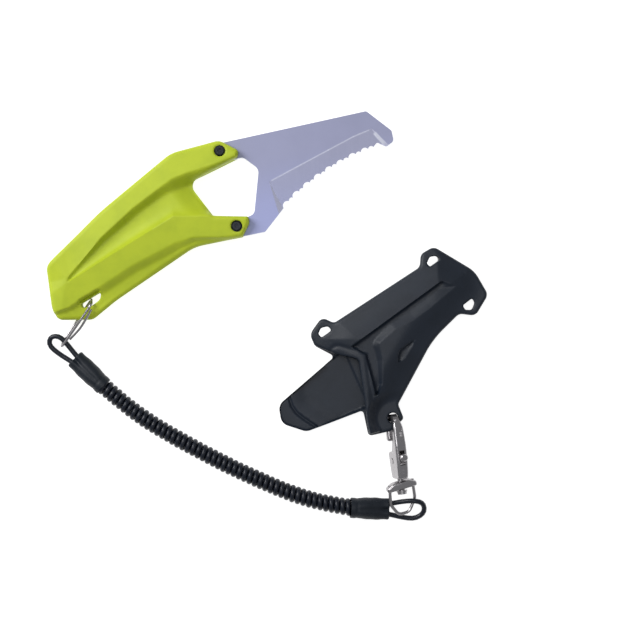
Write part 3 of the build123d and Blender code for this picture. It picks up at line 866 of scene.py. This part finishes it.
def nurbs(name, points, thickness=0.0, resolution=4, sides=5):
    """A smooth open curve with these points as its control points."""
    data = bpy.data.curves.new(name, "CURVE")
    data.dimensions = "3D"
    data.resolution_u = resolution
    data.bevel_depth = thickness / 2
    data.bevel_resolution = sides
    data.use_fill_caps = True
    spline = data.splines.new("NURBS")
    spline.points.add(len(points) - 1)
    spline.points.foreach_set("co", np.column_stack([points, np.ones(len(points))]).ravel())
    spline.order_u = 3
    spline.use_endpoint_u = True
    curve = bpy.data.objects.new(name, data)
    bpy.context.collection.objects.link(curve)
    return curve


def read_route(points):
    """Points along the smooth route through these control points."""
    curve = nurbs("route", points, resolution=24)
    mesh = bpy.data.meshes.new_from_object(curve)
    line = np.empty(len(mesh.vertices) * 3)
    mesh.vertices.foreach_get("co", line)
    bpy.data.objects.remove(curve)
    bpy.data.meshes.remove(mesh)
    return line.reshape(-1, 3)


def length_of(line):
    return np.linalg.norm(np.diff(line, axis=0), axis=1).sum()


def frames(line):
    """At each point of a nearly level line: the way on, and two ways across it."""
    way = np.gradient(line, axis=0)
    way /= np.linalg.norm(way, axis=1)[:, None]
    side = np.cross([0, 0, 1], way)
    side /= np.linalg.norm(side, axis=1)[:, None]
    return way, side, np.cross(way, side)


def helix(route):
    """The coil: a point goes round the route at the coil's radius, one pitch a turn, and its
    radius grows from the sleeve at each end."""
    whole = length_of(route)
    pitch = TURN_PITCH * MM
    turns = whole / pitch
    steps = np.linspace(0, 1, int(turns * POINTS_A_TURN))
    centres = along(route, steps * whole)
    _, side, up = frames(centres)
    ends = np.minimum(steps, 1 - steps) * turns
    spread = 1 / math.cos(math.pi / POINTS_A_TURN) ** 1.5
    radius = (COIL_OUTSIDE - CORD) / 2 * MM * spread * (0.8 + 0.2 * smooth(ends, 0, 0.5))
    uneven = 1 + 0.012 * np.sin(steps * 41) + 0.010 * np.sin(steps * 97 + 1)
    angle = 2 * math.pi * turns * steps - math.pi / 2
    spoke = np.cos(angle)[:, None] * side + np.sin(angle)[:, None] * up
    return centres + (radius * uneven)[:, None] * spoke


def make_lanyard(cord_material, sleeve_material):
    loop_a = laid(LOOP_A_RUNS)
    loop_b = laid(LOOP_B_RUNS)
    route = read_route(laid(COIL_RUNS))
    coil = helix(route)
    coil[:, 2] = np.maximum(coil[:, 2], CORD / 2 * MM)
    points = np.vstack([loop_a[::-1], coil, loop_b])
    cord = nurbs("curly_cord", points, CORD * MM, resolution=3, sides=3)
    cord.data.materials.append(cord_material)
    real = length_of(read_route(points))
    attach(cord, "lanyard")
    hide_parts("lanyard_coil", "cord_loop_knife_end", "cord_loop_hook_end")
    sleeves = [
        make_sleeve(end_name, laid([mouth])[0], route[coil_end], *sizes, sleeve_material)
        for end_name, mouth, coil_end, *sizes in SLEEVES
    ]


def make_sleeve(end_name, mouth, coil_end, wide, tall, grip, material):
    """A shrunk sleeve: round where it grips the coil, oval with a cleft between the two cords
    at its mouth.  Its skin is closed: one parameter goes round the axis, the other goes along
    the outside from the coil's end to the mouth and back inside."""
    axis = coil_end - mouth
    long = np.linalg.norm(axis)
    axis = axis / long
    side = np.cross([0, 0, 1], axis)
    side /= np.linalg.norm(side)
    up = np.cross(axis, side)
    outside = np.linspace(SLEEVE_REACH, 0.0, SLEEVE_ROWS)
    within = np.linspace(0.0, SLEEVE_REACH, SLEEVE_ROWS_INSIDE)
    share = np.concatenate([outside, [-0.02, -0.03, -0.02], within])
    shrink = np.concatenate([
        np.zeros(SLEEVE_ROWS), [0.15, 0.3, 0.45], np.full(SLEEVE_ROWS_INSIDE, SLEEVE_WALL),
    ])
    theta = np.linspace(0, 2 * math.pi, SLEEVE_POINTS_ROUND, endpoint=False)
    s, t = np.meshgrid(share, theta, indexing="ij")
    w, _ = np.meshgrid(shrink, theta, indexing="ij")
    open_end = 1 - smooth(s, 0.1, 0.85)
    shoulder = SLEEVE_SHOULDER * (smooth(s, 0.84, 0.90) - smooth(s, 0.90, 0.97))
    bulge = SLEEVE_BULGE * np.sin(math.pi * np.clip(s, 0, 1)) ** 2
    half_wide = blend(grip, wide / 2, open_end) + bulge - shoulder - w
    half_tall = blend(grip, tall / 2, open_end) + bulge * 0.5 - shoulder - w
    deep = CLEFT_DEEP + CLEFT_DEEPER_AT_MOUTH * (1 - smooth(s, 0.0, 0.32))
    deep = deep * (1 - smooth(s, 0.72, 1.0))
    cleft = np.exp(-((np.cos(t) / CLEFT_HALF) ** 2)) * deep
    across = half_wide * np.cos(t)
    height = (half_tall - cleft) * np.sin(t)
    ripple = 0.06 * np.sin(s * 19 + 2 * np.cos(t)) * (w == 0)
    place = (
        mouth + (s * long)[..., None] * axis
        + ((across + ripple) * MM)[..., None] * side + (height * MM)[..., None] * up
    )
    name = f"shrink_sleeve_{end_name}"
    piece = make_piece(name, place.reshape(-1, 3) / MM, net(*s.shape, True), material)
    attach(piece, "lanyard")
    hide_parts(f"sleeve_{end_name}")
    return piece


# ---- The snap hook's body ----
SNAP_EDGE = (
    (0.0, 4.0, 1.2), (7.0, 5.0, 20), (14.0, 5.3, 14), (22.6, 4.8, 5), (26.5, 1.8, 3),
    (26.3, -3.6, 2.4), (23.0, -4.7, 2), (15.4, -4.5, 1.0), (15.4, -2.2, 0.9),
    (21.4, -2.3, 1.0), (23.6, -2.0, 0.8), (23.7, 0.8, 1.2), (21.4, 2.4, 2.0),
    (14.4, 2.5, 1.4), (11.4, 0.4, 1.0), (11.2, -4.1, 1.0), (0.0, -3.9, 1.0),
)
STRAP_BELOW = 2.9
SNAP_LEAN = 19.0
GAP = 1.1
ROOM = (3.0, 12.2, 3.6)
KNOB_SLOT = (6.0, 11.6)
SNAP_ROUND = 0.9
SNAP_STEP = 0.25
SNAP_WIDTHS = (  # half widths along the hook
    (0, 3, 8, 13, 18, 21, 24, 27),
    (2.1, 2.3, 2.4, 2.4, 2.3, 2.1, 1.6, 1.35),
)


def snap_axes():
    """The hook's three directions as columns: along its axis, to its back, and across it."""
    axis = np.array(joint("swivel")["axis"])
    axis = axis / np.linalg.norm(axis)
    lean = math.radians(SNAP_LEAN)
    side = np.array([axis[1], -axis[0], 0.0])
    back = math.sin(lean) * side + np.array([0, 0, math.cos(lean)])
    return np.column_stack([axis, back, np.cross(axis, back)])


def snap_place():
    """A placing for the hook: x along its axis, y to its back, heights across it."""
    axes = snap_axes()
    start = np.array(joint("swivel")["pos_m"]) / MM + STRAP_BELOW * axes[:, 0]
    return lambda flat, high: start + np.column_stack([flat, high]) @ axes.T


def snap_half_width(points):
    """Half the hook's width: fullest at its pivot, narrower to the base and the nose, with
    its edges rounded."""
    width = np.interp(points[:, 0], *SNAP_WIDTHS)
    edges = distance(points, rounded(SNAP_EDGE, SNAP_STEP), True)
    return np.maximum(width - rolled(edges, SNAP_ROUND), GAP + 0.05)


def kept_run(loop, keep, corners):
    """The one run of an outline's points that is kept, closed by extra corners."""
    first = int(np.flatnonzero(keep & ~np.roll(keep, 1))[0])
    ordered = np.roll(loop, -first, axis=0)[: int(keep.sum())]
    return evenly(np.vstack([ordered, corners]), SNAP_STEP)


def make_snap(material):
    """Two cheeks on the whole outline, and between them a core with room for the gate and a
    slot for its knob."""
    loop = rounded(SNAP_EDGE, SNAP_STEP)
    x, y = loop[:, 0], loop[:, 1]
    low, high, roof = ROOM
    near, far = KNOB_SLOT
    base = kept_run(loop, (x < low) | ((x < near) & (y > roof)), [(near, roof), (low, roof)])
    rest = kept_run(loop, (x > high) | ((x > far) & (y > roof)), [(high, roof), (far, roof)])
    place = snap_place()
    upper, lower = level(GAP), level(-GAP)
    parts = [
        relief(loop, [], snap_half_width, upper, place, step=0.45),
        relief(loop, [], lower, mirrored(snap_half_width), place, step=0.45),
        relief(base, [], upper, lower, place, step=0.6),
        relief(rest, [], upper, lower, place, step=0.6),
    ]
    points, faces, count = [], [], 0
    for spots, triangles in parts:
        points.append(spots)
        faces.append(triangles + count)
        count += len(spots)
    piece = make_piece("snap_body_casting", np.vstack(points), np.vstack(faces), material)
    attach(piece, "snap")
    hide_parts("snap_body")


# ---- The wire link ----
LINK_WIRE = 1.0
LINK_NEAR = (-91.0, 3.3, 6.4)
LINK_FAR = (-103.6, -14.6, 3.2)
LINK_LEAN = 15.0
LINK_HALF = 3.9
LINK_FAR_HALF = 2.6
LINK_TAPER_AT = 9
LATCH_RUNS = (
    (2.0, 3.9, -1.1), (5.5, 3.9, -1.5), (9.5, 3.75, -1.8), (13.0, 2.8, -1.8),
    (17.6, 2.4, -1.0),
)
WIRE_POINTS_ROUND = 20
WIRE_TIP = 0.01


def link_axes():
    """The link's three directions: to the cord's loop, across it, and off its plane."""
    way = np.subtract(LINK_FAR, LINK_NEAR)
    way /= np.linalg.norm(way)
    flat = np.cross([0, 0, 1], way)
    flat /= np.linalg.norm(flat)
    up = np.cross(way, flat)
    lean = math.radians(LINK_LEAN)
    across = up * math.cos(lean) + flat * math.sin(lean)
    return np.column_stack([way, across, np.cross(way, across)])


def wire(name, line, thick, closed, material):
    """Round wire along a line in millimetres: one parameter runs along the line, the other
    round it, square to the line; open ends are drawn in to a point."""
    ahead = np.roll(line, -1, axis=0) - np.roll(line, 1, axis=0)
    if not closed:
        ahead = np.gradient(line, axis=0)
    ahead /= np.linalg.norm(ahead, axis=1)[:, None]
    steady = np.linalg.svd(line - line.mean(axis=0))[2][2]
    side = np.cross(ahead, steady)
    side /= np.linalg.norm(side, axis=1)[:, None]
    up = np.cross(side, ahead)
    radius = np.full(len(line), thick / 2)
    if not closed:
        line = np.vstack([line[:1], line, line[-1:]])
        side, up = (np.vstack([v[:1], v, v[-1:]]) for v in (side, up))
        radius = np.concatenate([[WIRE_TIP], radius, [WIRE_TIP]])
    theta = np.linspace(0, 2 * math.pi, WIRE_POINTS_ROUND, endpoint=False)
    ring = np.cos(theta)[:, None, None] * side + np.sin(theta)[:, None, None] * up
    place = (line + radius[:, None] * ring).transpose(1, 0, 2)
    faces = net(*place.shape[:2], closed)
    return make_piece(name, place.reshape(-1, 3), faces, material)


def make_link(material):
    """The link: a long narrow eye of wire, and the spring tongue that shuts it."""
    axes = link_axes()
    long = np.linalg.norm(np.subtract(LINK_FAR, LINK_NEAR))
    eye = rounded((
        (0, LINK_HALF, 1.6), (0, -LINK_HALF, 1.6), (LINK_TAPER_AT, -LINK_HALF, 8),
        (long, -LINK_FAR_HALF, 2.0), (long, LINK_FAR_HALF, 2.0),
        (LINK_TAPER_AT, LINK_HALF, 8),
    ), 0.3)
    flat = np.column_stack([eye, np.zeros(len(eye))])
    start = np.add(LINK_NEAR, (*LAYOUT_SHIFT, 0))
    tongue = read_route(np.array(LATCH_RUNS) @ axes.T + start)
    wires = (("link_wire", flat @ axes.T + start, True), ("link_latch", tongue, False))
    for name, line, closed in wires:
        piece = wire(name + "_spring", line, LINK_WIRE, closed, material)
        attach(piece, "link")
        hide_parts(name)


# ---- The swivel's strap ----
STRAP_EDGE = (
    (-1.2, -6.3, 0.7), (-1.2, 6.3, 0.7), (0.6, 6.3, 0.8), (2.1, 3.4, 2.5), (2.1, -3.4, 2.5),
    (0.6, -6.3, 0.8),
)
STRAP_DEEP = 2.2
STRAP_TURNS = (-96.0, -8.0, 8.0)
STRAP_ROUND = 0.75
STRAP_SLOPE = 0.05


def strap_axes():
    """The loose strap's three directions: the hook's, rolled, drooped and skewed."""
    axes = snap_axes()
    for angle, about in zip(STRAP_TURNS, "XYZ"):
        axes = axes @ np.array(Matrix.Rotation(math.radians(angle), 3, about))
    return axes


def strap_height(points):
    """Half the strap's thickness: fullest at its middle, with its edges rounded over."""
    edges = distance(points, rounded(STRAP_EDGE, SNAP_STEP), True)
    return STRAP_DEEP - STRAP_SLOPE * np.abs(points[:, 1]) - rolled(edges, STRAP_ROUND)


def make_strap(material):
    """The swivel's strap: a bar with dropped shoulders and rounded edges."""
    middle = np.array(joint("swivel")["pos_m"]) / MM
    axes = strap_axes()

    def place(flat, high):
        return middle + np.column_stack([flat, high]) @ axes.T

    points, faces = relief(
        rounded(STRAP_EDGE, SNAP_STEP), [], strap_height, mirrored(strap_height), place,
        step=0.35,
    )
    piece = make_piece("swivel_strap_pressing", points, faces, material)
    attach(piece, "bail")
    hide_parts("swivel_strap")


# ---- Materials ----
# where the painted highlights run on the blade, in millimetres in the knife's own frame
GRIND_LINE = ((18.0, -0.9), (31.0, 2.8), (43.0, 6.2), (54.0, 9.3), (60.9, 10.6))
HOOK_LINE = ((63.0, 8.6), (65.7, 4.0))


def moulded(name, colour, darker, grain, roughness, gloss):
    """Moulded plastic: a fine even grain, faint cloudiness and small scuffs."""
    shade = Shade(name)
    cloud = shade.noise(90, 4, 0.6)
    scuff = shade.noise(420, 5, 0.7, stretch=(1, 0.25, 1), turn=35).ramp(0.58, 0.78)
    colour = shade.mix(cloud.ramp(0.35, 0.7), (*colour, 1), (*darker, 1))
    fine = shade.noise(grain, 2, 0.6)
    return shade.surface(
        Base_Color=colour,
        Specular_IOR_Level=gloss,
        Roughness=roughness + 0.08 * scuff + 0.05 * cloud,
        Normal=shade.bump(fine, 0.00003),
    )


def handle_plastic():
    colours = ((0.45, 0.54, 0.024), (0.40, 0.49, 0.022))
    return moulded("yellow_green_moulding", *colours, 2600, 0.50, 0.3)


def sheath_plastic():
    colours = ((0.007, 0.012, 0.022), (0.005, 0.009, 0.017))
    return moulded("slate_moulding", *colours, 2400, 0.44, 0.38)


def blade_steel():
    """Bead-blasted flats with a painted sheen, lighter and bluer towards the edge; the ground
    faces have fine lines across the edge and steep faces a lighter painted highlight; painted
    highlights run along the line where the grind starts and along the step at the hook."""
    shade = Shade("blasted_steel")
    x, y, _ = shade.laid_place(knife_home(), KNIFE_TURN)
    # painted highlight: a thin light line where the grind starts and a wider one along the step
    # at the hook
    painted_glint = shade.streak(x, y, GRIND_LINE, 0.40) * 0.3
    painted_glint = painted_glint + shade.streak(x, y, HOOK_LINE, 1.0) * 0.55
    normal = shade.node("ShaderNodeTexCoord")["Normal"]
    flat = shade.split(normal)[2].size().ramp(0.9930, 0.9975)
    cloud = shade.noise(60, 4, 0.6)
    grain = shade.noise(5200, 2, 0.6)
    lines = shade.noise(900, 3, 0.6, stretch=(1, 0.04, 1), turn=68)
    # painted sheen: the flats are made lighter and bluer towards the edge
    low = 1 - y.ramp(-16, 10)
    blasted = shade.mix(cloud, (0.31, 0.32, 0.47, 1), (0.27, 0.28, 0.41, 1))
    blasted = shade.mix(low * 0.7, blasted, (0.33, 0.36, 0.62, 1))
    # painted highlight: steep faces are given a light, bluish colour
    steep = 1 - shade.split(normal)[2].size().ramp(0.88, 0.98)
    ground = shade.mix(lines, (0.30, 0.305, 0.41, 1), (0.36, 0.365, 0.47, 1))
    height = grain * flat * 0.4 + lines * (1 - flat)
    colour = shade.mix(flat, shade.mix(steep, ground, (0.56, 0.57, 0.74, 1)), blasted)
    return shade.surface(
        # the painted highlight's colour along the grind line and the hook's step
        Base_Color=shade.mix(painted_glint, colour, (0.80, 0.82, 0.90, 1)),
        Metallic=0.35,
        Roughness=0.36 + 0.12 * flat + 0.06 * cloud,
        Normal=shade.bump(height, 0.00002),
    )


def black_oxide():
    shade = Shade("black_oxide")
    worn = shade.noise(900, 4, 0.6).ramp(0.55, 0.8)
    return shade.surface(
        Base_Color=shade.mix(worn, (0.012, 0.014, 0.018, 1), (0.045, 0.05, 0.055, 1)),
        Metallic=0.7,
        Roughness=0.36 + 0.15 * worn,
        Normal=shade.bump(shade.noise(3000, 2, 0.5), 0.00002),
    )


def nickel_plate():
    shade = Shade("nickel_plate")
    cloud = shade.noise(220, 4, 0.6)
    pits = shade.noise(1500, 3, 0.6).ramp(0.6, 0.75)
    return shade.surface(
        Base_Color=shade.mix(cloud, (0.44, 0.425, 0.44, 1), (0.34, 0.325, 0.33, 1)),
        Metallic=1.0,
        Roughness=0.20 + 0.10 * cloud + 0.1 * pits,
        Normal=shade.bump(cloud + 0.3 * pits, 0.00002),
    )


def glossy_cord():
    shade = Shade("polyurethane_cord")
    haze = shade.noise(300, 3, 0.6)
    return shade.surface(
        Base_Color=shade.mix(haze, (0.003, 0.005, 0.011, 1), (0.006, 0.009, 0.017, 1)),
        Specular_IOR_Level=0.35,
        Roughness=0.30 + 0.12 * haze,
        Normal=shade.bump(haze, 0.00004),
    )


def shrink_rubber():
    shade = Shade("shrink_sleeve")
    haze = shade.noise(260, 4, 0.6)
    return shade.surface(
        Base_Color=shade.mix(haze, (0.005, 0.008, 0.013, 1), (0.009, 0.013, 0.020, 1)),
        Specular_IOR_Level=0.3,
        Roughness=0.42 + 0.15 * haze,
        Normal=shade.bump(haze + 0.3 * shade.noise(2200, 2, 0.5), 0.00008),
    )


def crimp_metal():
    shade = Shade("crimped_aluminium")
    haze = shade.noise(500, 4, 0.6)
    return shade.surface(
        Base_Color=shade.mix(haze, (0.6, 0.6, 0.62, 1), (0.7, 0.7, 0.72, 1)),
        Metallic=1.0,
        Roughness=0.3 + 0.2 * haze,
    )


def finish_plain_nodes(plate):
    """The nodes that are shown as they are, with their finishes."""
    finishes = {
        blade_steel(): ["blade"],
        black_oxide(): ["handle_screws", "barrel_nuts"],
        crimp_metal(): ["ferrule_knife_end", "ferrule_hook_end"],
        plate: [
            "snap_gate", "gate_pin", "gate_spring", "swivel_stud",
            "swivel_washer", "bail_wire",
        ],
    }
    for material, nodes in finishes.items():
        for node in nodes:
            for holder in frame["nodes"][node].material_slots:
                holder.material = material


def main():
    look_down()
    light_the_scene()
    lay_floor()
    make_lanyard(glossy_cord(), shrink_rubber())
    make_handle(handle_plastic())
    make_sheath(sheath_plastic())
    plate = nickel_plate()
    make_snap(plate)
    make_strap(plate)
    make_link(plate)
    finish_plain_nodes(plate)


main()
